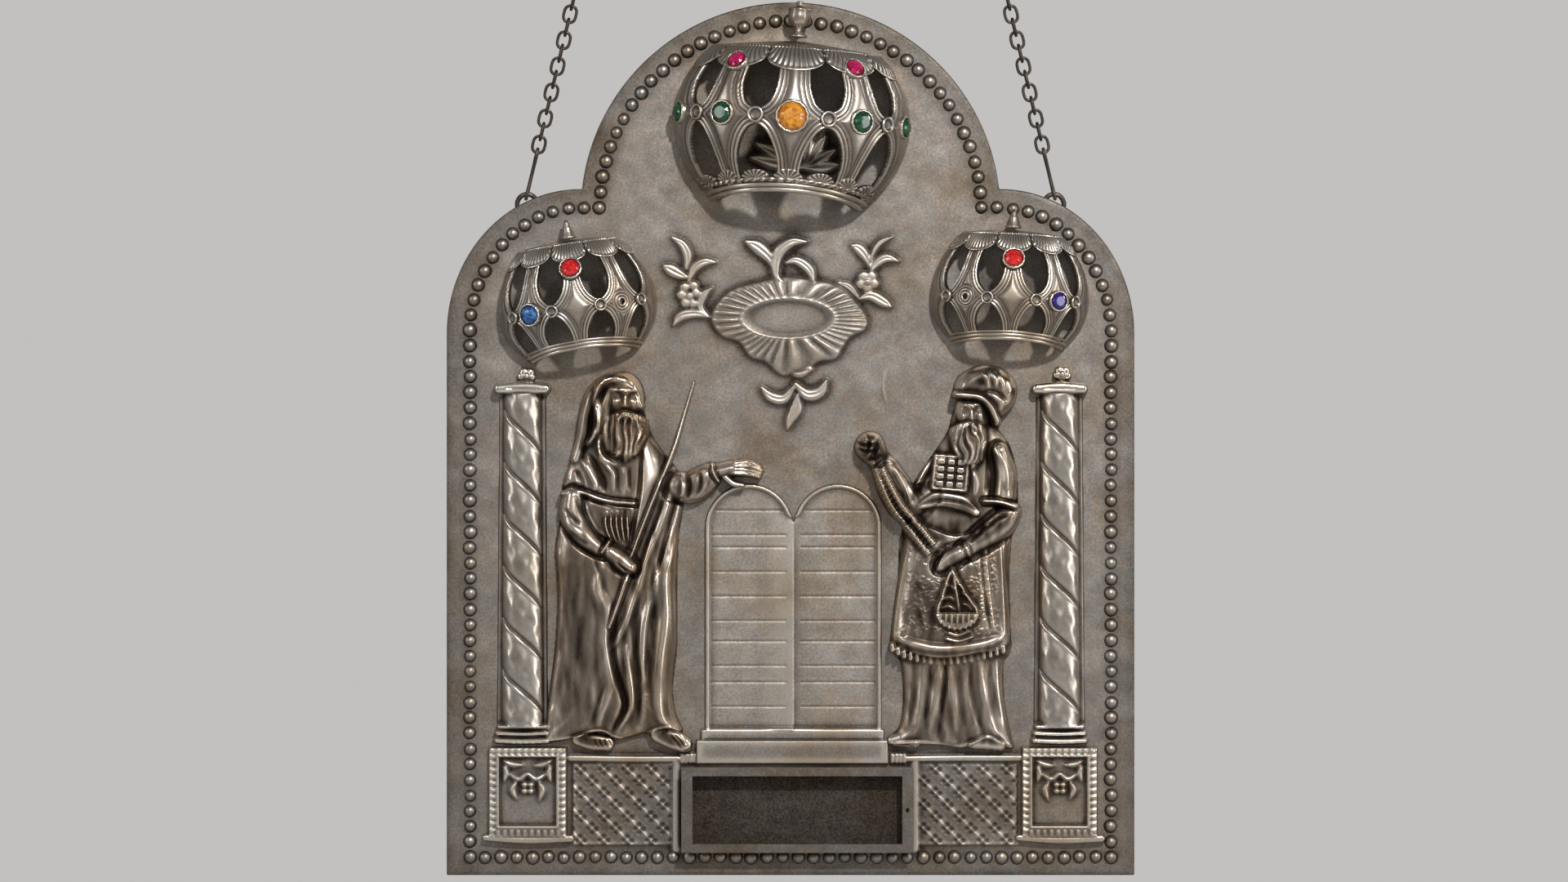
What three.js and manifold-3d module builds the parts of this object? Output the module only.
// A torah shield: a shaped silver plate with a beaded border, hung on two chains.
// It carries two tablets, two columns on pedestals, two figures, a slide-in plaque box
// and three pierced half crowns set with stones.
// Millimetres. X runs right, Z up and the decorated front looks along -Y.
// The origin is midway between the two rings that the shield hangs by.
import * as THREE from 'three';
import { mergeVertices } from 'three/addons/utils/BufferGeometryUtils.js';
import Module from 'manifold-3d';

const wasm = await Module();
wasm.setup();

// Driving dimensions

const seatGap = 0.3;
const overrun = 20;

const plateWidth = 294.7;
const plateHeight = 374;
const plateThickness = 1.2;
const springingShare = 0.62032;
const shoulderReachShare = 0.1946;
const headLap = 10;
const headRadiusShare = 0.3054;

const beadDiameter = 5.4;
const beadHeight = 2.4;
const beadPitch = 6.65;
const beadSides = 5;
const sideMargin = 10;
const footMargin = 7.7;
const archMargin = 8;

const tabletWidthShare = 0.12691;
const tabletHeightShare = 0.61947;
const tabletGap = 1.2;
const tabletOffset = 1.2;
const tabletFoot = 62.5;
const tabletRelief = 1.8;
const tabletBorder = 2.2;
const tabletBorderRelief = 2.8;
const stepFeet = [4.4, 9.9];
const stepOverhangs = [0.85, 2.75];
const stepReliefs = [3.4, 4.6];

const columnOffsetShare = 0.39023;
const shaftWidthShare = 0.05938;
const shaftRelief = 7;
const columnBaseHeight = 10.5;
const shaftTopDrop = 27.4;
const twistLead = 43;
const twistStarts = 2;
const twistDepth = 0.7;
const capitalOverhang = 2.8;
const capitalHeight = 6.3;
const knobDiameter = 7.7;
const baseRingHeight = 3.3;
const baseRingOverhang = 1.05;

const pedestalInset = 1.8;
const pedestalWidthShare = 0.11537;
const pedestalHeight = 40.3;
const pedestalFoot = 14.5;
const pedestalRelief = 4.6;
const pedestalBorder = 4.2;
const pedestalRecess = 1.2;
const flowerDiameter = 8;

const diaperFoot = 13;
const diaperHeight = 34.5;
const diaperOffset = 1.6;
const diaperFrameGap = 3.9;
const diaperPedestalGap = 2;
const diaperRelief = 0.9;
const ledgeDiameter = 3.6;

const boxOffset = 2.9;
const boxFoot = 11.3;
const boxDepth = 9;
const boxWall = 1;
const frameThickness = 1.2;
const frameWidthShare = 0.33593;
const frameHeight = 36.4;
const frameOverlap = 1;
const frameSideBorder = 4.7;
const frameEdgeBorder = 3.7;
const pinHoleDiameter = 2;

const largeCrown = {
  name: 'centre',
  offsetShare: 0.002,
  lift: 39,
  tilt: 4,
  radiusShare: 0.16729,
  topRise: 29,
  rimDrop: 36,
  rimArch: 5,
  upperDome: 41,
  lowerDome: 45,
  wall: 1.6,
  rimDiameter: 4,
  colletDiameter: 5.4,
  capDrop: 9,
  capLift: 4.5,
  bezelWall: 0.8,
  bezelLift: 1,
  finialHeight: 15.5,
  finialRadius: 5,
  centreStone: 11.4,
  sideStone: 8,
  farStone: 7.6,
  capStone: 7.4,
  capStoneHeight: 22,
};
const smallCrown = {
  name: 'left',
  offsetShare: -0.30879,
  lift: 10.5,
  tilt: -8.5,
  radiusShare: 0.11198,
  topRise: 27,
  rimDrop: 20,
  rimArch: 3,
  upperDome: 34,
  lowerDome: 26.5,
  wall: 1.4,
  rimDiameter: 3,
  colletDiameter: 4.2,
  capDrop: 7,
  capLift: 2,
  bezelWall: 0.7,
  bezelLift: 0.9,
  finialHeight: 8,
  finialRadius: 3.4,
  capStone: 7.6,
  capStoneHeight: 16.5,
  sideStone: 7.4,
};
const rightCrownChanges = {
  name: 'right',
  offsetShare: 0.31829,
  lift: 14.5,
  tilt: 3,
  capStone: 7.2,
  sideStone: 6.4,
};
const crownDepthShare = 0.75;
const crownStems = 5;
const stemSpacingDegrees = 36;

// Shares of a stone's diameter or radius, and of its bezel's radius
const bezelFootShare = 0.8;
const bezelRiseShare = 0.125;
const girdleRiseShare = 0.1;
const pavilionShare = 0.7;
const tableShare = 0.62;
const tableRiseShare = 0.42;
const pinHoleShare = 0.5;

// Shares of the dome's wall and of the cap's brow and drop
const capWallShare = 0.8;
const capHoleShare = 0.15;
const capNotchShare = 0.45;

// Rows of the pierced dome from its rim up. Each has a height as a share of the rim's drop
// or of the top's rise, how far it stands out as a share of the rim's moulding, and the
// half width of the opening as a share of a bay. Cells above an open row are pierced.
const domeRowShares = [
  { drop: 1, moulding: 0, out: 0.15, half: 0.25 },
  { drop: 1, moulding: 0.5, out: 0.5, half: 0.25 },
  { drop: 1, moulding: 1.1, out: 0, half: 0.25, open: true },
  { drop: 0.48, out: 0, half: 0.25, open: true },
  { drop: 0.3, out: 0, half: 0.2, open: true },
  { drop: 0.13, out: 0, half: 0.05 },
  { rise: 0.12, out: 0, half: 0.08, open: true },
  { rise: 0.26, out: 0, half: 0.25, open: true },
  { rise: 0.56, out: 0, half: 0.26, open: true },
  { rise: 0.86, out: 0, half: 0.17 },
  { rise: 1, out: 0, half: 0.17 },
];

// Finials: shares of the radius and of the height
const urnShares = [
  [0, 0], [0.8, 0], [0.75, 0.08], [0.3, 0.2], [0.75, 0.34], [1, 0.55], [0.9, 0.72],
  [0.95, 0.8], [0.4, 0.84], [0.3, 1], [0, 1],
];
const coneShares = [[0, 0], [1, 0], [0.9, 0.3], [0.45, 0.5], [0.4, 0.7], [0, 1]];

// Shell cartouche between the crowns: a plain oval in a ring of ribs
const cartoucheX = -0.7;
const cartoucheLift = 8;
const cartoucheWidth = 63;
const cartoucheHeight = 41;
const cartoucheRelief = 3.2;
const ovalWidth = 33;
const ovalHeight = 16;
const ovalRelief = 4.4;
const ribCount = 14;
const ribWidth = 4.2;

// Leaves of the scrolls and sprigs: x and z from the middle of the cartouche, length, width
// and turn of each
const leafRelief = 2.2;
const leaves = [
  [-5.3, 32, 17, 6, -40],
  [4.7, 30, 15, 6, 30],
  [-0.3, 24, 12, 5, 80],
  [-5.3, -34, 14, 6, 20],
  [7.7, -35, 14, 6, -20],
  [0.7, -42, 16, 5, 90],
  [-49.3, 22, 14, 5, 40],
  [-39.3, 18, 13, 5, -20],
  [-42.3, 6, 10, 9, 0],
  [-46.3, -4, 16, 5, 20],
  [30.7, 20, 13, 5, -30],
  [40.7, 22, 13, 5, 40],
  [33.7, 12, 11, 10, 0],
  [40.7, 2, 14, 5, -10],
];

// Figure in a hooded cloak, holding a staff, with one arm over the tablets
const cloakOffsetShare = -0.24941;
const cloakFootHeight = 57.2;
const cloakHeightShare = 0.89817;
const cloakWidthShare = 0.21038;
const cloakRelief = 6.5;
const cloakOutlineShares = [
  [-0.46, 0.01], [-0.44, 0.27], [-0.42, 0.46], [-0.4, 0.64], [-0.32, 0.74], [-0.21, 0.81],
  [-0.19, 0.91], [-0.12, 0.975], [0, 1], [0.11, 0.98], [0.17, 0.92], [0.2, 0.84],
  [0.27, 0.77], [0.32, 0.68], [0.27, 0.57], [0.31, 0.46], [0.37, 0.26], [0.46, 0.01],
  [0, 0], [-0.46, 0.01],
];
const cloakFoldShares = [
  [[-0.32, 0.05], [-0.28, 0.45]], [[-0.16, 0.04], [-0.14, 0.42]], [[0.02, 0.04], [0, 0.46]],
  [[0.18, 0.05], [0.1, 0.5]], [[0.33, 0.05], [0.2, 0.55]], [[-0.05, 0.42], [0.24, 0.72]],
];
const foldRadius = 2;
const headWidth = 16;
const headHeight = 21;
const headRelief = 10.5;
const headLift = 6.5;
const beardLift = 5.5;
const beardRadius = 4.5;
const beardTipRadius = 2;
const armLift = 4;
const handLift = 8;
const sleeveRadius = 6;
const cuffRadius = 3.6;
const handRadius = 3;
const footLift = 2.2;
const footRadius = 2.4;
const turbanWidth = 24;
const turbanHeight = 14;
const skirtFlare = 1.25;
const staffDiameter = 1.8;
const staffShares = [[0.51, 0.98], [-0.07, 0.39]];

// Figure in a turban and apron, holding up a rope and a censer
const apronOffsetShare = 0.22803;
const apronFootHeight = 55.8;
const apronHeightShare = 0.91771;
const apronWidthShare = 0.16966;
const apronOutlineShares = [
  [-0.45, 0.01], [-0.36, 0.11], [-0.33, 0.22], [-0.47, 0.25], [-0.45, 0.42], [-0.38, 0.57],
  [-0.21, 0.7], [0, 0.77], [0.07, 0.8], [0.09, 0.89], [0.12, 0.97], [0.33, 1],
  [0.53, 0.97], [0.57, 0.91], [0.45, 0.85], [0.37, 0.79], [0.5, 0.74], [0.57, 0.59],
  [0.49, 0.48], [0.49, 0.29], [0.5, 0.25], [0.43, 0.22], [0.46, 0.11], [0.5, 0.01],
  [0, 0], [-0.45, 0.01],
];
const skirtFoldShares = [-0.3, -0.15, 0, 0.15, 0.3];
const breastplateWidth = 15;
const breastplateRelief = 9.5;
const ropeDiameter = 2.6;
const censerDiameter = 15;
const censerHeight = 26;

const hangRingDiameter = 15;
const hangRingWire = 1.8;
const linkLength = 8.65;
const linkWidth = 6.9;
const linkWire = 1.3;
const linkCount = 12;
const longLinkLength = 23.5;
const longLinkWidth = 6;
const longLinkWaist = 2.6;
const longLinkWire = 1.5;
const loopDiameter = 10.9;
const loopWire = 2.1;
const loopOffsetShare = 0.38344;
const loopDrop = 1.3;
const chainLeanDegrees = 13.4;
const linkGap = 0.3;

// Places worked out from the driving dimensions

const radians = THREE.MathUtils.degToRad;
const halfWidth = plateWidth / 2;
const shoulderReach = plateWidth * shoulderReachShare;
const shoulderCentre = halfWidth - shoulderReach;
const shoulderSpringing = plateHeight * springingShare;
const headRadius = plateWidth * headRadiusShare;
const headCentreHeight = plateHeight - headRadius;
const shoulderRise = headCentreHeight + headLap - shoulderSpringing;

const tabletWidth = plateWidth * tabletWidthShare;
const tabletHeight = (shoulderSpringing - tabletFoot) * tabletHeightShare;
const tabletSpacing = tabletWidth + tabletGap;
const shaftWidth = plateWidth * shaftWidthShare;
const columnOffset = plateWidth * columnOffsetShare;
const pedestalOffset = columnOffset - pedestalInset;
const pedestalWidth = plateWidth * pedestalWidthShare;
const shaftFoot = pedestalFoot + pedestalHeight + columnBaseHeight;
const shaftHeight = shoulderSpringing - shaftTopDrop - shaftFoot;
const frameWidth = plateWidth * frameWidthShare;
const windowWidth = frameWidth - 2 * frameSideBorder;
const windowHeight = frameHeight - 2 * frameEdgeBorder;
const boxWidth = frameWidth - 2 * frameOverlap;
const boxHeight = frameHeight - 2 * frameOverlap;
const diaperInner = frameWidth / 2 + diaperFrameGap;
const diaperOuter = pedestalOffset - pedestalWidth / 2 - diaperPedestalGap;
const cartoucheZ = shoulderSpringing + cartoucheLift;
const cloakWidth = plateWidth * cloakWidthShare;
const cloakHeight = (shoulderSpringing - cloakFootHeight) * cloakHeightShare;
const apronWidth = plateWidth * apronWidthShare;
const apronHeight = (shoulderSpringing - apronFootHeight) * apronHeightShare;
const cloakFoot = [plateWidth * cloakOffsetShare, cloakFootHeight];
const apronFoot = [plateWidth * apronOffsetShare, apronFootHeight];

const loopOffset = plateWidth * loopOffsetShare;
const loopShare = (loopOffset - shoulderCentre) / shoulderReach;
const edgeAtLoop = shoulderSpringing + shoulderRise * Math.sqrt(1 - loopShare ** 2);
const loopHeight = edgeAtLoop - loopDrop;
const chainLean = radians(chainLeanDegrees);
const loopPlane = plateThickness + seatGap + loopWire / 2;

const hangWireBelow = (hangRingDiameter - hangRingWire) / 2;
const linkReach = (linkLength - linkWire) / 2;
const linkPitch = 2 * linkReach - linkWire - linkGap;
const topBite = (hangRingWire + linkWire) / 2 + linkGap;
const longBite = (linkWire + longLinkWire) / 2 + linkGap;
const loopBite = (longLinkWire + loopWire) / 2 + linkGap;
const longReach = (longLinkLength - longLinkWire) / 2;
const firstLinkRun = linkReach - topBite;
const lastLinkRun = firstLinkRun + (linkCount - 1) * linkPitch;
const longLinkRun = lastLinkRun + linkReach - longBite + longReach;
const chainRun = longLinkRun + longReach - loopBite;
const loopWireAbove = (loopDiameter - loopWire) / 2;
const loopTopBelow = hangWireBelow + chainRun * Math.cos(chainLean);
const hangRingOffset = loopOffset - chainRun * Math.sin(chainLean);
const plateFootBelow = loopTopBelow + loopWireAbove + loopHeight;

// Materials

function metal(name, color, roughness) {
  return new THREE.MeshStandardMaterial({ name, color, roughness, metalness: 1 });
}

function stone(name, color) {
  return new THREE.MeshStandardMaterial({ name, color, roughness: 0.1, metalness: 0 });
}

const tarnishedSilver = metal('tarnished_silver', 0x8f887d, 0.5);
const brightSilver = metal('bright_silver', 0xb5aea2, 0.35);
const figureSilver = metal('figure_silver', 0x7d7264, 0.35);
const darkSteel = metal('dark_chain', 0x3a322c, 0.55);
const stones = {
  orange: stone('orange_stone', 0xe08a1c),
  green: stone('green_stone', 0x0f5a34),
  pink: stone('pink_stone', 0xd01050),
  red: stone('red_stone', 0xd8141c),
  blue: stone('blue_stone', 0x2a5c9c),
  purple: stone('purple_stone', 0x4a22b0),
};

// Solids

function solid(geometry) {
  const bare = geometry.clone();
  bare.deleteAttribute('normal');
  bare.deleteAttribute('uv');
  const merged = mergeVertices(bare);
  return new wasm.Manifold(new wasm.Mesh({
    numProp: 3,
    vertProperties: Float32Array.from(merged.attributes.position.array),
    triVerts: Uint32Array.from(merged.index.array),
  }));
}

function geometryOf(body) {
  const mesh = body.getMesh();
  const geometry = new THREE.BufferGeometry();
  geometry.setAttribute('position', new THREE.BufferAttribute(mesh.vertProperties, 3));
  geometry.setIndex(new THREE.BufferAttribute(mesh.triVerts, 1));
  return geometry;
}

function joined(geometries) {
  return wasm.Manifold.union(geometries.map(solid));
}

function mesh(name, geometry, material) {
  const result = new THREE.Mesh(geometry, material);
  result.name = name;
  return result;
}

// Box with its middle at x, its foot at z, from one depth behind the front to another.
function slab(width, height, x, foot, front, back) {
  const box = new THREE.BoxGeometry(width, back - front, height);
  return box.translate(x, (front + back) / 2, foot + height / 2);
}

// Outline in the XZ plane, drawn out from the plane y = -from to y = -to.
function raised(shape, from, to, curveSegments = 8) {
  const geometry = new THREE.ExtrudeGeometry(shape, {
    depth: to - from,
    bevelEnabled: false,
    curveSegments,
  });
  return geometry.rotateX(Math.PI / 2).translate(0, -from, 0);
}

// Outline in the XZ plane with a rounded front edge, for pillow-shaped relief.
function cushioned(shape, relief, rounding, curveSegments = 4) {
  const geometry = new THREE.ExtrudeGeometry(shape, {
    depth: relief,
    bevelThickness: rounding,
    bevelSize: rounding,
    bevelOffset: -rounding,
    bevelSegments: 1,
    curveSegments,
  });
  return geometry.rotateX(Math.PI / 2).translate(0, rounding, 0);
}

// Everything that stands in front of the seat on the plate.
function inFrontOfSeat() {
  const reach = 2 * plateHeight;
  return solid(slab(reach, reach, 0, -plateHeight, -plateHeight, -seatGap));
}

function seated(body) {
  return body.intersect(inFrontOfSeat());
}

// Closed loop of wire: each ring of a torus is moved onto the loop's centre line.
function wireLoop(centreLine, wire, steps, sides) {
  const loop = new THREE.TorusGeometry(wire, wire / 2, sides, steps);
  const position = loop.attributes.position;
  const nudge = 1e-4;
  for (let i = 0; i < position.count; i += 1) {
    const turn = Math.atan2(position.getY(i), position.getX(i)) + Math.PI / steps;
    const out = Math.hypot(position.getX(i), position.getY(i)) - wire;
    const side = position.getZ(i);
    const centre = centreLine(turn);
    const ahead = centreLine(turn + nudge).sub(centreLine(turn - nudge)).normalize();
    position.setXYZ(i, centre.x + out * ahead.y, side, centre.y - out * ahead.x);
  }
  // the ring's own sideways axis now points backwards, so its faces are turned round
  loop.index.array.reverse();
  return loop;
}

// Round wire ring.
function roundLine(radius) {
  return (turn) => new THREE.Vector2(radius * Math.cos(turn), radius * Math.sin(turn));
}

// Link with round ends and straight sides.
function ovalLine(reach, halfBreadth) {
  const straight = reach - halfBreadth;
  return (turn) => new THREE.Vector2(
    halfBreadth * Math.cos(turn),
    halfBreadth * Math.sin(turn) + straight * Math.sign(Math.sin(turn)),
  );
}

// Long link pinched at the waist, so that it has an eye at each end.
function pinchedLine(reach, halfBreadth, halfWaist) {
  const eyeSine = Math.sqrt(2 / 3);
  const eyeCosine = Math.sqrt(1 / 3);
  const swell = (halfBreadth / eyeCosine - halfWaist) / eyeSine ** 2;
  return (turn) => new THREE.Vector2(
    Math.cos(turn) * (halfWaist + swell * Math.sin(turn) ** 2),
    reach * Math.sin(turn),
  );
}

// Plate and border

function archedOutline(margin, foot, shoulderMargin) {
  const side = halfWidth - margin;
  const reach = side - shoulderCentre;
  const rise = shoulderRise - shoulderMargin;
  const radius = headRadius - shoulderMargin;
  const shoulderTop = shoulderSpringing + rise;
  const start = Math.asin((shoulderTop - headCentreHeight) / radius);
  const path = new THREE.Path();
  path.moveTo(-side, foot);
  path.lineTo(side, foot);
  path.absellipse(shoulderCentre, shoulderSpringing, reach, rise, 0, Math.PI / 2);
  path.absarc(0, headCentreHeight, radius, start, Math.PI - start);
  path.absellipse(-shoulderCentre, shoulderSpringing, reach, rise, Math.PI / 2, Math.PI);
  path.lineTo(-side, foot);
  return path;
}

// Middles of the beads: one stands on each corner of their line, and they divide the
// stretches between the corners evenly.
function borderBeads() {
  const stretches = [];
  let before = null;
  for (const curve of archedOutline(sideMargin, footMargin, archMargin).curves) {
    const isCorner = !before || before.dot(curve.getTangent(0)) < Math.SQRT1_2;
    if (isCorner) stretches.push(new THREE.CurvePath());
    stretches.at(-1).add(curve);
    before = curve.getTangent(1);
  }
  return stretches.flatMap((stretch) => {
    const count = Math.round(stretch.getLength() / beadPitch);
    return stretch.getSpacedPoints(count).slice(1);
  });
}

// Bead of the border: a low dome on a foot that is sunk in the sheet.
function bead(centre) {
  const waist = Math.SQRT1_2;
  const radius = beadDiameter / 2;
  const profile = [
    new THREE.Vector2(0, -plateThickness / 2),
    new THREE.Vector2(radius, -plateThickness / 2),
    new THREE.Vector2(radius, 0),
    new THREE.Vector2(radius * waist, beadHeight * waist),
    new THREE.Vector2(0, beadHeight),
  ];
  const dome = new THREE.LatheGeometry(profile, beadSides);
  return dome.rotateX(Math.PI).translate(centre.x, 0, centre.y);
}

// Raised diaper field beside the plaque box, under its ledge moulding.
function diaperField(side) {
  const width = diaperOuter - diaperInner;
  const middle = diaperOffset + side * (diaperOuter + diaperInner) / 2;
  const ledge = new THREE.CylinderGeometry(ledgeDiameter / 2, ledgeDiameter / 2, width, 8);
  ledge.rotateZ(Math.PI / 2);
  ledge.translate(middle, 0, diaperFoot + diaperHeight + ledgeDiameter / 2);
  const overlap = plateThickness / 2;
  return [slab(width, diaperHeight, middle, diaperFoot, -diaperRelief, overlap), ledge];
}

function ellipsoid(x, z, width, height, relief, turnDegrees = 0, sides = 8, rings = 4) {
  const ball = new THREE.SphereGeometry(1, sides, rings);
  ball.scale(width / 2, relief, height / 2);
  ball.rotateY(radians(turnDegrees));
  return ball.translate(x, 0, z);
}

function cartouche() {
  const pieces = [
    ellipsoid(cartoucheX, cartoucheZ, ovalWidth, ovalHeight, ovalRelief, 0, 12, 6),
  ];
  for (let i = 0; i < ribCount; i += 1) {
    const turn = (i + 0.5) / ribCount * 2 * Math.PI;
    const x = cartoucheX + Math.cos(turn) * (cartoucheWidth + ovalWidth) / 4;
    const z = cartoucheZ + Math.sin(turn) * (cartoucheHeight + ovalHeight) / 4;
    const length = Math.hypot(
      Math.cos(turn) * (cartoucheWidth - ovalWidth), Math.sin(turn) * (cartoucheHeight - ovalHeight));
    const lean = Math.atan2(
      Math.sin(turn) * cartoucheHeight, Math.cos(turn) * cartoucheWidth);
    pieces.push(ellipsoid(
      x, z, length / 2 + ribWidth, ribWidth, cartoucheRelief,
      -THREE.MathUtils.radToDeg(lean), 5, 4));
  }
  return pieces;
}

function platePiece() {
  const ornament = [...leaves.map(([x, z, length, width, turn]) => ellipsoid(
    cartoucheX + x, cartoucheZ + z, length, width, leafRelief, -turn, 5, 4)), ...cartouche()];
  const relief = joined([...diaperField(-1), ...diaperField(1), ...ornament]);
  const front = solid(slab(
    plateWidth, plateHeight, 0, 0, -plateHeight, plateThickness / 2));
  const outline = new THREE.Shape(archedOutline(0, 0, 0).getPoints(12));
  const sheet = solid(raised(outline, -plateThickness, 0));
  const body = sheet.add(joined(borderBeads().map(bead))).add(relief.intersect(front));
  return mesh('shield_plate', geometryOf(body), tarnishedSilver);
}

// Tablets on their two steps

function tabletShape(width, height, inset) {
  const half = width / 2 - inset;
  const springing = height - width / 2;
  const shape = new THREE.Shape();
  shape.moveTo(-half, inset);
  shape.lineTo(half, inset);
  shape.lineTo(half, springing);
  shape.absarc(0, springing, half, 0, Math.PI);
  shape.lineTo(-half, inset);
  return shape;
}

function tabletsPiece() {
  const slabs = [];
  const fields = [];
  for (const side of [-1, 1]) {
    const x = tabletOffset + side * tabletSpacing / 2;
    const outline = tabletShape(tabletWidth, tabletHeight, 0);
    const field = tabletShape(tabletWidth, tabletHeight, tabletBorder);
    slabs.push(raised(outline, seatGap, tabletBorderRelief, 6).translate(x, 0, tabletFoot));
    fields.push(raised(field, tabletRelief, overrun, 6).translate(x, 0, tabletFoot));
  }
  let top = tabletFoot + tabletBorder / 2;
  stepFeet.forEach((drop, i) => {
    const foot = tabletFoot - drop;
    const width = tabletSpacing + tabletWidth + 2 * stepOverhangs[i];
    slabs.push(slab(width, top - foot, tabletOffset, foot, -stepReliefs[i], -seatGap));
    top = foot + seatGap;
  });
  return mesh('tablets', geometryOf(joined(slabs).subtract(joined(fields))), brightSilver);
}

// Columns and pedestals

function twistedShaft() {
  const sides = 12;
  const rings = 20;
  const shaft = new THREE.CylinderGeometry(1, 1, shaftHeight, sides, rings);
  shaft.rotateX(Math.PI / 2);
  const position = shaft.attributes.position;
  for (let i = 0; i < position.count; i += 1) {
    const x = position.getX(i);
    const y = position.getY(i);
    const z = position.getZ(i);
    const out = Math.hypot(x, y);
    const around = Math.atan2(x, -y);
    const phase = twistStarts * (around + 2 * Math.PI * z / twistLead);
    const swell = 1 + (Math.cos(phase) - 1) * twistDepth / shaftWidth * Math.sign(out);
    position.setXYZ(i, x * swell * shaftWidth / 2, y * swell * shaftRelief, z);
  }
  return shaft.translate(0, 0, shaftFoot + shaftHeight / 2);
}

// Bar with round ends, lying across the column.
function crossBar(width, height, relief, foot) {
  const bar = new THREE.CapsuleGeometry(height / 2, width - height, 2, 8);
  bar.rotateZ(Math.PI / 2);
  bar.scale(1, 2 * relief / height, 1);
  return bar.translate(0, 0, foot + height / 2);
}

function columnPiece(name, side) {
  const capitalFoot = shaftFoot + shaftHeight - capitalHeight / 6;
  const knob = new THREE.SphereGeometry(knobDiameter / 2, 8, 4);
  knob.translate(0, 0, capitalFoot + capitalHeight + knobDiameter / 4);
  const baseRelief = shaftRelief + baseRingHeight / 4;
  const capitalWidth = shaftWidth + 2 * capitalOverhang;
  const baseRingWidth = shaftWidth + 2 * baseRingOverhang;
  const parts = [
    twistedShaft(),
    crossBar(capitalWidth, capitalHeight, shaftRelief + twistDepth, capitalFoot),
    knob,
    crossBar(baseRingWidth, baseRingHeight, baseRelief, shaftFoot - baseRingHeight / 2),
    crossBar(baseRingWidth + baseRingHeight / 2, baseRingHeight, baseRelief,
      shaftFoot - baseRingHeight * 1.2),
  ];
  const body = seated(joined(parts));
  const piece = mesh(name, geometryOf(body), brightSilver);
  piece.position.x = side * columnOffset;
  return piece;
}

function pedestalPiece(name, side) {
  const block = slab(
    pedestalWidth, pedestalHeight, 0, pedestalFoot, -pedestalRelief, -seatGap);
  const panelWidth = pedestalWidth - 2 * pedestalBorder;
  const panelHeight = pedestalHeight - 2 * pedestalBorder;
  const recess = slab(
    panelWidth, panelHeight, 0, pedestalFoot + pedestalBorder,
    -pedestalRelief - overrun, pedestalRecess - pedestalRelief);
  const floor = pedestalRelief - pedestalRecess;
  const flowerHeight = pedestalFoot + pedestalHeight - pedestalBorder - flowerDiameter;
  const petals = [];
  for (let i = -1; i <= 1; i += 1) {
    const petal = ellipsoid(
      i * flowerDiameter, flowerHeight + Math.abs(i) * flowerDiameter / 3, flowerDiameter,
      flowerDiameter * (1 - Math.abs(i) / 3), floor + pedestalRecess / 2, 0, 8, 4);
    petals.push(petal);
  }
  const body = seated(solid(block).subtract(solid(recess)).add(joined(petals)));
  const piece = mesh(name, geometryOf(body), brightSilver);
  piece.position.x = side * pedestalOffset;
  return piece;
}

// Plaque box: a shallow tray with an open front, and the frame soldered in front of it

function plaqueBox() {
  const outside = slab(boxWidth, boxHeight, boxOffset, boxFoot, -seatGap - boxDepth, -seatGap);
  const inside = slab(
    boxWidth - 2 * boxWall, boxHeight - 2 * boxWall, boxOffset, boxFoot + boxWall,
    -seatGap - boxDepth - overrun, -seatGap - boxWall);
  const body = solid(outside).subtract(solid(inside));
  return mesh('plaque_box', geometryOf(body), tarnishedSilver);
}

function boxFrame() {
  const back = 2 * seatGap + boxDepth;
  const middle = boxFoot + boxHeight / 2;
  const plate = slab(
    frameWidth, frameHeight, boxOffset, middle - frameHeight / 2, -back - frameThickness, -back);
  const window = slab(
    windowWidth, windowHeight, boxOffset, middle - windowHeight / 2,
    -back - overrun, overrun);
  const hole = new THREE.CylinderGeometry(
    pinHoleDiameter / 2, pinHoleDiameter / 2, back + overrun, 10);
  hole.translate(boxOffset + (frameWidth + windowWidth) / 4, -back, middle);
  const body = solid(plate).subtract(solid(window)).subtract(solid(hole));
  return mesh('box_frame', geometryOf(body), brightSilver);
}

// Figures: sheet relief of plain rounded masses, each cut flat where it meets the plate

// Tapered limb with round ends, between two points given as x, z and height over the plate.
function limb(from, to, startRadius, endRadius) {
  const a = new THREE.Vector3(from[0], -from[2], from[1]);
  const b = new THREE.Vector3(to[0], -to[2], to[1]);
  const length = a.distanceTo(b);
  const profile = [
    new THREE.Vector2(0, -startRadius),
    new THREE.Vector2(startRadius * Math.SQRT1_2, -startRadius * Math.SQRT1_2),
    new THREE.Vector2(startRadius, 0),
    new THREE.Vector2(endRadius, length),
    new THREE.Vector2(endRadius * Math.SQRT1_2, length + endRadius * Math.SQRT1_2),
    new THREE.Vector2(0, length + endRadius),
  ];
  const geometry = new THREE.LatheGeometry(profile, 5);
  const up = new THREE.Vector3(0, 1, 0);
  const direction = b.clone().sub(a).normalize();
  geometry.applyQuaternion(new THREE.Quaternion().setFromUnitVectors(up, direction));
  return geometry.translate(a.x, a.y, a.z);
}

function tapered(points, startRadius, endRadius) {
  const last = points.length - 1;
  const radiusAt = (i) => startRadius + (endRadius - startRadius) * i / last;
  return points.slice(1).map((point, i) => limb(
    points[i], point, radiusAt(i), radiusAt(i + 1)));
}

function smoothShape(points) {
  const curve = new THREE.SplineCurve(points.map(([x, z]) => new THREE.Vector2(x, z)));
  return new THREE.Shape(curve.getPoints(points.length));
}

function placed(foot, width, height, [x, z], lift) {
  return [foot[0] + x * width, foot[1] + z * height, lift];
}

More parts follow.
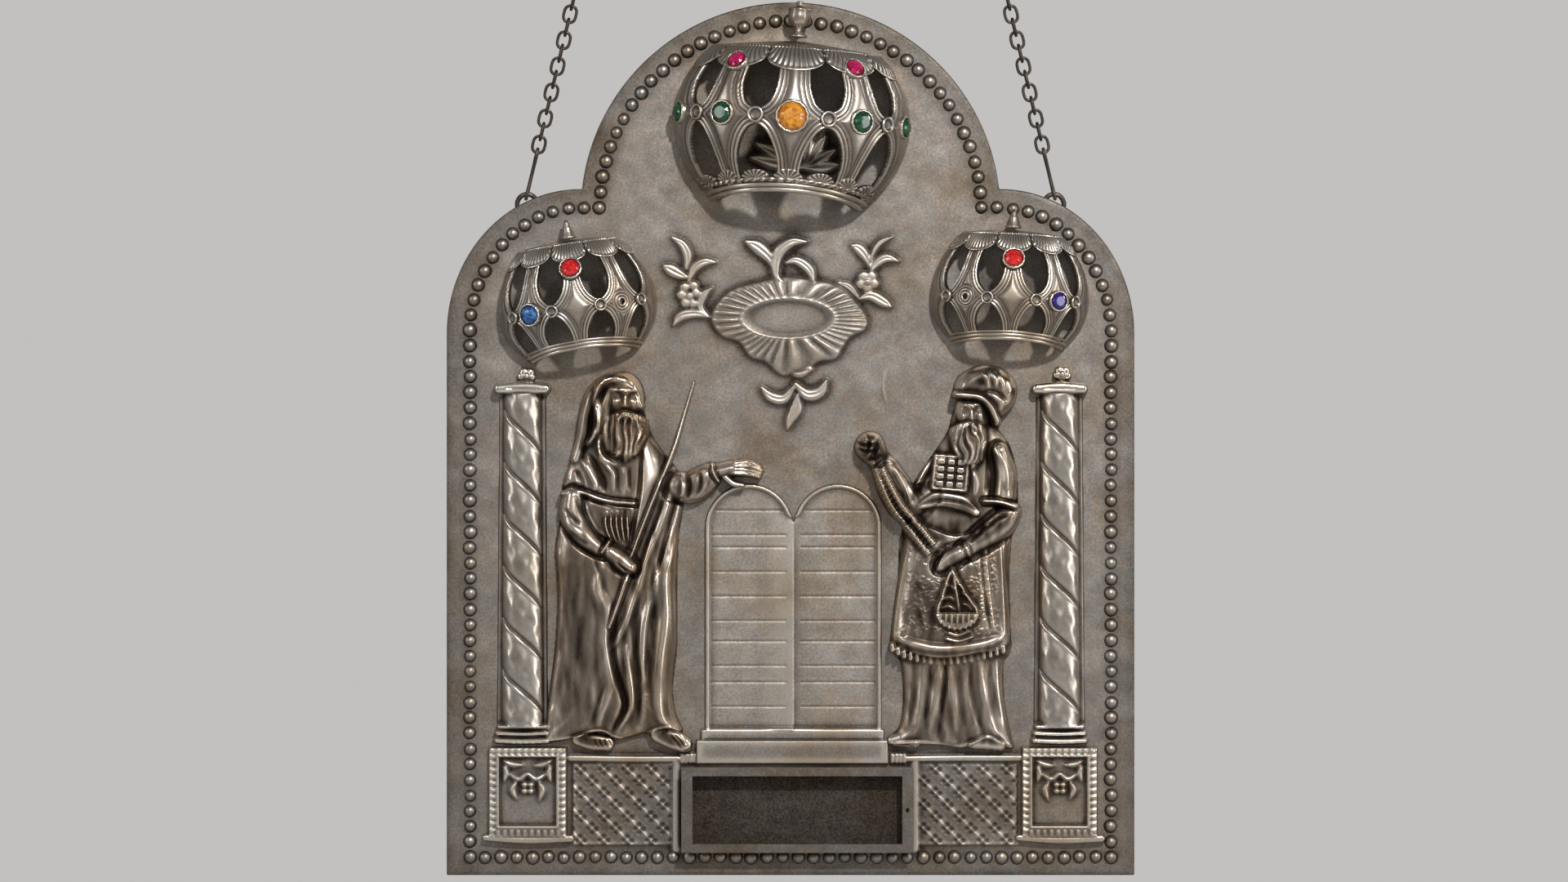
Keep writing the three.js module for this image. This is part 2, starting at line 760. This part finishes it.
function cloakedFigure() {
  const at = (x, z, lift) => placed(cloakFoot, cloakWidth, cloakHeight, [x, z], lift);
  const outline = smoothShape(cloakOutlineShares.map(([x, z]) => at(x, z, 0)));
  const folds = cloakFoldShares.map(([low, high]) => limb(
    at(...low, cloakRelief - foldRadius / 3), at(...high, cloakRelief - foldRadius / 2),
    foldRadius, foldRadius / 2));
  const [headX, headZ] = at(0.02, 0.92, 0);
  const parts = [
    cushioned(outline, cloakRelief, cloakRelief / 2),
    ...folds,
    ellipsoid(headX, headZ, headWidth, headHeight, headRelief),
    ...tapered([at(0.04, 0.86, headLift), at(0.08, 0.77, beardLift)], beardRadius, beardTipRadius),
    ...tapered([at(-0.26, 0.7, armLift), at(-0.33, 0.58, armLift), at(0.08, 0.485, handLift)],
      sleeveRadius, cuffRadius),
    ...tapered([at(0.2, 0.71, armLift), at(0.44, 0.66, armLift), at(0.64, 0.74, armLift)],
      sleeveRadius, cuffRadius),
    ...tapered([at(0.64, 0.74, armLift), at(0.97, 0.742, armLift)], handRadius, handRadius / 2),
    limb(at(-0.25, 0.02, footLift), at(-0.05, 0.01, footLift), footRadius, footRadius),
    limb(at(0.3, 0.02, footLift), at(0.44, 0.01, footLift), footRadius, footRadius),
    limb(at(...staffShares[0], cloakRelief - staffDiameter), at(...staffShares[1], handLift),
      staffDiameter / 3, staffDiameter / 2),
  ];
  return mesh('cloaked_figure', geometryOf(seated(joined(parts))), figureSilver);
}

function apronFigure() {
  const at = (x, z, lift) => placed(apronFoot, apronWidth, apronHeight, [x, z], lift);
  const outline = smoothShape(apronOutlineShares.map(([x, z]) => at(x, z, 0)));
  const folds = skirtFoldShares.map((x) => limb(
    at(x * skirtFlare, 0.04, cloakRelief - foldRadius / 3),
    at(x, 0.24, cloakRelief - foldRadius / 2), foldRadius, foldRadius));
  const [headX, headZ] = at(0.2, 0.865, 0);
  const [hatX, hatZ] = at(0.33, 0.957, 0);
  const [plateX, plateZ] = at(0, 0.716, 0);
  const [censerX, censerZ] = at(0.1, 0.37, 0);
  const censer = new THREE.LatheGeometry([
    new THREE.Vector2(0, 0),
    new THREE.Vector2(censerDiameter / 3, 0),
    new THREE.Vector2(censerDiameter / 6, censerHeight / 8),
    new THREE.Vector2(censerDiameter / 2, censerHeight / 3),
    new THREE.Vector2(censerDiameter / 4, censerHeight * 2 / 3),
    new THREE.Vector2(0, censerHeight),
  ], 8);
  censer.rotateX(Math.PI / 2);
  censer.translate(censerX, -cloakRelief, censerZ - censerHeight / 2);
  const parts = [
    cushioned(outline, cloakRelief, cloakRelief / 2),
    ...folds,
    censer,
    ellipsoid(headX, headZ, headWidth, headHeight, headRelief),
    ellipsoid(hatX, hatZ, turbanWidth, turbanHeight, headRelief),
    slab(breastplateWidth, breastplateWidth, plateX, plateZ - breastplateWidth / 2,
      -breastplateRelief, 0),
    ...tapered([at(0.2, 0.82, headLift), at(0.28, 0.73, beardLift)], beardRadius, beardTipRadius),
    ...tapered([at(0.42, 0.72, armLift), at(0.46, 0.59, armLift), at(0.03, 0.5, handLift)],
      sleeveRadius, cuffRadius),
    ...tapered([at(-0.1, 0.68, armLift), at(-0.3, 0.63, armLift), at(-0.6, 0.77, armLift)],
      sleeveRadius, handRadius),
    limb(at(-0.62, 0.78, armLift), at(-0.66, 0.8, armLift), cuffRadius, handRadius),
    ...tapered([at(-0.65, 0.76, armLift), at(-0.4, 0.62, beardLift), at(-0.02, 0.5, handLift)],
      ropeDiameter / 2, ropeDiameter / 2),
    limb(at(-0.3, 0.02, footLift), at(-0.44, 0.01, footLift), footRadius, footRadius),
    limb(at(0.25, 0.02, footLift), at(0.38, 0.005, footLift), footRadius, footRadius),
  ];
  return mesh('apron_figure', geometryOf(seated(joined(parts))), figureSilver);
}

// Pierced half crowns

// Radius of the crown's dome at a height over its widest line.
function domeRadius(crown, height) {
  const rise = height > 0 ? crown.upperDome : crown.lowerDome;
  return crown.radius * Math.sqrt(Math.max(0, 1 - (height / rise) ** 2));
}

// Point on the dome, moved outwards along its radius.
function onDome(crown, azimuth, height, out) {
  const radius = domeRadius(crown, height) + out;
  return new THREE.Vector3(
    radius * Math.sin(azimuth),
    -crownDepthShare * radius * Math.cos(azimuth),
    height,
  );
}

// Height of the crown's lower edge, which arches up towards the front.
function rimHeight(crown, azimuth) {
  return -crown.rimDrop + crown.rimArch * Math.cos(azimuth) ** 2;
}

// Closed body between two sheets of points, with holes where cells are left open.
// point(i, j, depth) gives a corner, with depth 0 on the outer sheet and 1 on the inner.
function sheetBody(point, columns, rows, isOpen = () => false) {
  const positions = [];
  const index = [];
  const stride = rows + 1;
  const inner = (columns + 1) * stride;
  for (const depth of [0, 1]) {
    for (let i = 0; i <= columns; i += 1) {
      for (let j = 0; j <= rows; j += 1) positions.push(...point(i, j, depth).toArray());
    }
  }
  const quad = (a, b, c, d) => index.push(a, b, c, a, c, d);
  const empty = (i, j) => i < 0 || j < 0 || i >= columns || j >= rows || isOpen(i, j);
  for (let i = 0; i < columns; i += 1) {
    for (let j = 0; j < rows; j += 1) {
      if (empty(i, j)) continue;
      const corners = [i * stride + j, (i + 1) * stride + j];
      corners.push(corners[1] + 1, corners[0] + 1);
      const [a, b, c, d] = corners;
      quad(a, b, c, d);
      quad(inner + a, inner + d, inner + c, inner + b);
      const neighbours = [[i, j - 1], [i + 1, j], [i, j + 1], [i - 1, j]];
      neighbours.forEach(([nextI, nextJ], k) => {
        if (!empty(nextI, nextJ)) return;
        const from = corners[k];
        const to = corners[(k + 1) % corners.length];
        quad(to, from, inner + from, inner + to);
      });
    }
  }
  const geometry = new THREE.BufferGeometry();
  geometry.setAttribute('position', new THREE.Float32BufferAttribute(positions, 3));
  geometry.setIndex(index);
  return geometry;
}

// Azimuths of the dome's columns, in bays: a side edge, then each stem's middle with the
// left edge, middle and right edge of the opening beside it, and the other side edge.
function domeColumns() {
  const half = (crownStems - 1) / 2;
  const edge = Math.PI / 2 / radians(stemSpacingDegrees);
  const columns = [{ bay: -edge }];
  for (let stem = -half; stem <= half; stem += 1) {
    columns.push({ bay: stem });
    if (stem < half) {
      for (const side of [-1, 0, 1]) columns.push({ bay: stem + 0.5, side });
    }
  }
  columns.push({ bay: edge });
  return columns;
}

function piercedDome(crown) {
  const columns = domeColumns();
  const point = (i, j, depth) => {
    const row = domeRowShares[j];
    const column = columns[i];
    const across = column.bay + (column.side ?? 0) * row.half;
    const azimuth = across * radians(stemSpacingDegrees);
    const rise = (row.rise ?? 0) * crown.topRise;
    const low = row.drop === 1 ? rimHeight(crown, azimuth) : -(row.drop ?? 0) * crown.rimDrop;
    const height = rise + low + (row.moulding ?? 0) * crown.rimDiameter;
    const out = row.out * crown.rimDiameter * (1 - depth) - depth * crown.wall;
    return onDome(crown, azimuth, height, out);
  };
  const isOpen = (i, j) => {
    const beside = columns[i].side !== undefined && columns[i + 1].side !== undefined;
    return beside && domeRowShares[j].open === true;
  };
  return sheetBody(point, columns.length - 1, domeRowShares.length - 1, isOpen);
}

// Turns a body that points along +Z to point out of the dome at an azimuth and height.
function outwards(crown, azimuth, height, geometry) {
  const step = crown.radius / 1000;
  const here = onDome(crown, azimuth, height, 0);
  const around = onDome(crown, azimuth + step / crown.radius, height, 0).sub(here);
  const upward = onDome(crown, azimuth, height + step, 0).sub(here);
  const normal = around.cross(upward).normalize();
  const forward = new THREE.Vector3(0, 0, 1);
  geometry.applyQuaternion(new THREE.Quaternion().setFromUnitVectors(forward, normal));
  return geometry.translate(here.x, here.y, here.z);
}

function bezelRadius(crown, seat) {
  return seat.diameter / 2 + seatGap + crown.bezelWall;
}

// Cup that holds a stone, sunk a little into its stem.
function bezel(crown, seat) {
  const outer = bezelRadius(crown, seat);
  const inner = outer - crown.bezelWall;
  const lift = crown.bezelLift + seat.diameter * bezelRiseShare;
  const profile = [
    new THREE.Vector2(0, -crown.wall / 2),
    new THREE.Vector2(outer * bezelFootShare, -crown.wall / 2),
    new THREE.Vector2(outer, lift),
    new THREE.Vector2(inner, lift),
    new THREE.Vector2(inner, seatGap),
    new THREE.Vector2(0, seatGap),
  ];
  const cup = new THREE.LatheGeometry(profile, 8);
  cup.rotateX(Math.PI / 2);
  return outwards(crown, seat.azimuth, seat.height, cup);
}

// Faceted stone with a flat table, standing in its bezel.
function stonePiece(crown, seat) {
  const radius = seat.diameter / 2;
  const girdle = crown.bezelLift + seat.diameter * girdleRiseShare;
  const table = girdle + radius * tableRiseShare;
  const profile = [
    new THREE.Vector2(0, 2 * seatGap),
    new THREE.Vector2(radius * pavilionShare, 2 * seatGap),
    new THREE.Vector2(radius, girdle),
    new THREE.Vector2(radius * tableShare, table),
    new THREE.Vector2(0, table),
  ];
  const gem = new THREE.LatheGeometry(profile, 8);
  gem.rotateX(Math.PI / 2);
  outwards(crown, seat.azimuth, seat.height, gem);
  return mesh(seat.name, geometryOf(solid(gem)), stones[seat.colour]);
}

// Empty round collet in the web between two stems.
function collet(crown, azimuth) {
  const radius = crown.colletDiameter / 2;
  const profile = [
    new THREE.Vector2(0, -crown.wall / 2),
    new THREE.Vector2(radius, -crown.wall / 2),
    new THREE.Vector2(radius, crown.wall / 2),
    new THREE.Vector2(0, 0),
  ];
  const ring = new THREE.LatheGeometry(profile, 6);
  ring.rotateX(Math.PI / 2);
  return outwards(crown, azimuth, 0, ring);
}

function stemAzimuth(stem) {
  return radians(stem * stemSpacingDegrees);
}

// Round hole through a stem whose stone is lost.
function pinHole(crown, stem) {
  const radius = crown.colletDiameter / 2 * pinHoleShare;
  const hole = new THREE.CylinderGeometry(radius, radius, crown.radius / 4, 8);
  hole.rotateX(Math.PI / 2);
  return outwards(crown, stemAzimuth(stem), 0, hole);
}

function crownShell(crown) {
  const additions = crown.seats.map((seat) => bezel(crown, seat));
  for (let i = 0; i < crownStems - 1; i += 1) {
    additions.push(collet(crown, stemAzimuth(i + 0.5 - (crownStems - 1) / 2)));
  }
  const holes = crown.emptyStems.map((stem) => pinHole(crown, stem));
  let body = solid(piercedDome(crown)).add(joined(additions));
  if (holes.length > 0) body = body.subtract(joined(holes));
  return mesh(`${crown.name}_crown`, geometryOf(seated(body)), brightSilver);
}

// Height of the cap's underside, from its brow (a share of 1) up to the hole in its middle.
function capUnderside(crown, browShare) {
  return crown.topRise + seatGap + crown.capLift * (1 - browShare) / (1 - capHoleShare);
}

// Scalloped cap over the top of the crown, with one lobe to each stem.
function crownCap(crown) {
  const capWall = crown.wall * capWallShare;
  const columns = 18;
  const rows = 3;
  const crest = 2;
  const point = (i, j, depth) => {
    const azimuth = (i / columns - 0.5) * Math.PI;
    const lift = (1 - depth) * capWall;
    const lobe = Math.abs(Math.cos(Math.PI * azimuth / radians(stemSpacingDegrees)));
    const top = capUnderside(crown, 1) + lift;
    const edge = crown.topRise - crown.capDrop * (capNotchShare + (1 - capNotchShare) * lobe);
    const brow = domeRadius(crown, crown.topRise) + seatGap + lift;
    let height = top + (edge - top) * (crest - j) / crest;
    let radius = domeRadius(crown, Math.min(height, crown.topRise));
    radius += seatGap / crownDepthShare + lift;
    if (j > crest) {
      const share = capHoleShare + (1 - capHoleShare) * (rows - j) / (rows - crest);
      height = capUnderside(crown, share) + lift;
      radius = brow * share;
    }
    return new THREE.Vector3(
      radius * Math.sin(azimuth), -crownDepthShare * radius * Math.cos(azimuth), height);
  };
  const notches = crown.seats.filter((seat) => seat.height > 0).map((seat) => {
    const radius = bezelRadius(crown, seat) + seatGap;
    const notch = new THREE.CylinderGeometry(radius, radius, crown.radius / 2, 8);
    notch.rotateX(Math.PI / 2);
    return outwards(crown, seat.azimuth, seat.height, notch);
  });
  const body = seated(solid(sheetBody(point, columns, rows))).subtract(joined(notches));
  return mesh(`${crown.name}_crown_cap`, geometryOf(body), brightSilver);
}

// Urn or cone that stands on the cap, clear of the border beads behind it.
function finial(crown) {
  const radius = crown.finialRadius;
  const height = crown.finialHeight;
  const shares = crown.urn ? urnShares : coneShares;
  const profile = shares.map(([out, up]) => new THREE.Vector2(out * radius, up * height));
  const body = new THREE.LatheGeometry(profile, 8);
  body.rotateX(Math.PI / 2);
  const capWall = crown.wall * capWallShare;
  const brow = domeRadius(crown, crown.topRise) + seatGap + capWall;
  const back = beadHeight + 2 * seatGap;
  const foot = capUnderside(crown, back / (crownDepthShare * brow)) + capWall + seatGap;
  body.translate(0, -(back + radius), foot);
  return mesh(`${crown.name}_finial`, geometryOf(solid(body)), brightSilver);
}

function crownGroup(crown) {
  const group = new THREE.Group();
  group.add(crownShell(crown), crownCap(crown), finial(crown));
  for (const seat of crown.seats) group.add(stonePiece(crown, seat));
  group.position.set(crown.x, 0, crown.z);
  group.rotation.y = radians(crown.tilt);
  return group;
}

function seatOn(name, colour, stem, height, diameter) {
  return { name, colour, azimuth: stemAzimuth(stem), height, diameter };
}

// Crown with its radius and place on the plate, over the head's centre or the springing.
function crownOnPlate(crown, datum) {
  return {
    ...crown,
    radius: plateWidth * crown.radiusShare,
    x: plateWidth * crown.offsetShare,
    z: datum + crown.lift,
  };
}

const centreCrown = {
  ...crownOnPlate(largeCrown, headCentreHeight),
  urn: true,
  emptyStems: [],
  seats: [
    seatOn('orange_stone', 'orange', 0, 0, largeCrown.centreStone),
    seatOn('green_stone_left', 'green', -1, 0, largeCrown.sideStone),
    seatOn('green_stone_right', 'green', 1, 0, largeCrown.sideStone),
    seatOn('green_stone_far_left', 'green', -2, 0, largeCrown.farStone),
    seatOn('green_stone_far_right', 'green', 2, 0, largeCrown.farStone),
    seatOn('pink_stone_left', 'pink', -1, largeCrown.capStoneHeight, largeCrown.capStone),
    seatOn('pink_stone_right', 'pink', 1, largeCrown.capStoneHeight, largeCrown.capStone),
  ],
};
const leftCrown = {
  ...crownOnPlate(smallCrown, shoulderSpringing),
  emptyStems: [1],
  seats: [
    seatOn('red_stone_left', 'red', 0, smallCrown.capStoneHeight, smallCrown.capStone),
    seatOn('blue_stone', 'blue', -1, 0, smallCrown.sideStone),
  ],
};
const mirroredCrown = { ...smallCrown, ...rightCrownChanges };
const rightCrown = {
  ...crownOnPlate(mirroredCrown, shoulderSpringing),
  emptyStems: [-1],
  seats: [
    seatOn('red_stone_right', 'red', 0, mirroredCrown.capStoneHeight, mirroredCrown.capStone),
    seatOn('purple_stone', 'purple', 1, 0, mirroredCrown.sideStone),
  ],
};

// Suspension

function hangRing(name, side) {
  const ring = wireLoop(roundLine(hangWireBelow), hangRingWire, 14, 5);
  const piece = mesh(name, geometryOf(solid(ring)), darkSteel);
  piece.position.x = side * hangRingOffset;
  return piece;
}

function solderedLoop(name, side) {
  const ring = wireLoop(roundLine(loopWireAbove), loopWire, 14, 5);
  const piece = mesh(name, geometryOf(solid(ring)), darkSteel);
  piece.position.set(side * loopOffset, loopPlane, loopHeight);
  return piece;
}

// Chain of oval links, each turned a quarter from the next, with a long link at its foot.
function chain(label, side) {
  const group = new THREE.Group();
  const half = (linkWidth - linkWire) / 2;
  for (let i = 1; i <= linkCount; i += 1) {
    const link = wireLoop(ovalLine(linkReach, half), linkWire, 10, 5);
    const name = `${label}_link_${String(i).padStart(2, '0')}`;
    const piece = mesh(name, geometryOf(solid(link)), darkSteel);
    piece.position.z = -(lastLinkRun - (i - 1) * linkPitch);
    piece.rotation.z = i % 2 === 0 ? Math.PI / 2 : 0;
    group.add(piece);
  }
  const pinched = wireLoop(
    pinchedLine(longReach, (longLinkWidth - longLinkWire) / 2, (longLinkWaist - longLinkWire) / 2),
    longLinkWire, 18, 5);
  const longLink = mesh(`${label}_long_link`, geometryOf(solid(pinched)), darkSteel);
  longLink.position.z = -longLinkRun;
  longLink.rotation.z = Math.PI / 2;
  group.add(longLink);
  group.position.set(side * hangRingOffset, 0, -hangWireBelow);
  group.rotation.y = -side * chainLean;
  return group;
}

// Assembly

const shield = new THREE.Group();
shield.add(
  platePiece(), tabletsPiece(), plaqueBox(), boxFrame(),
  columnPiece('left_column', -1), columnPiece('right_column', 1),
  pedestalPiece('left_pedestal', -1), pedestalPiece('right_pedestal', 1),
  cloakedFigure(), apronFigure(),
  solderedLoop('left_loop', -1), solderedLoop('right_loop', 1),
  crownGroup(centreCrown), crownGroup(leftCrown), crownGroup(rightCrown),
);
shield.position.set(0, -loopPlane, -plateFootBelow);

const group = new THREE.Group();
group.add(
  shield,
  hangRing('left_hang_ring', -1), hangRing('right_hang_ring', 1),
  chain('left', -1), chain('right', 1),
);

export default group;
